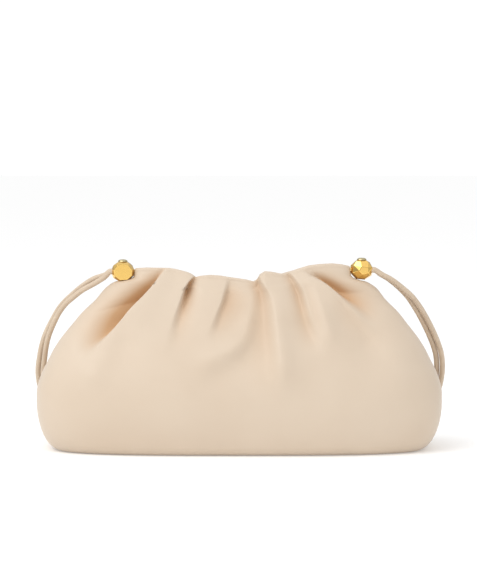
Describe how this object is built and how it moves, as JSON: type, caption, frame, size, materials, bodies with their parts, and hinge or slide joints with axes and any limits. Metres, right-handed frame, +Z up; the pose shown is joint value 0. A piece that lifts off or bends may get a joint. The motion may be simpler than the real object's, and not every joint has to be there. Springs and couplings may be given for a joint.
{
  "type": "mini shoulder bag",
  "caption": "Gathered soft leather pouch with a faceted gold bead at each end of its mouth and a thin shoulder strap of two round strands.",
  "frame": {"origin": "middle of the flat base that the pouch stands on", "axes": "+X along the mouth, to the right as seen from the front; -Y is the front; +Z up, from the base to the mouth"},
  "size_m": [0.2569, 0.1254, 0.1178],
  "materials": {
    "leather": "smooth, soft satin",
    "strap_leather": "smooth, satin",
    "gold": "polished, gold-plated"
  },
  "bodies": {
    "root": {"pouch": "leather", "strap_strand_1": "strap_leather", "strap_strand_2": "strap_leather", "bead_left": "gold", "bead_right": "gold", "rivet_left": "gold", "rivet_right": "gold", "pin_left": "gold", "pin_right": "gold"}
  },
  "joints": []
}
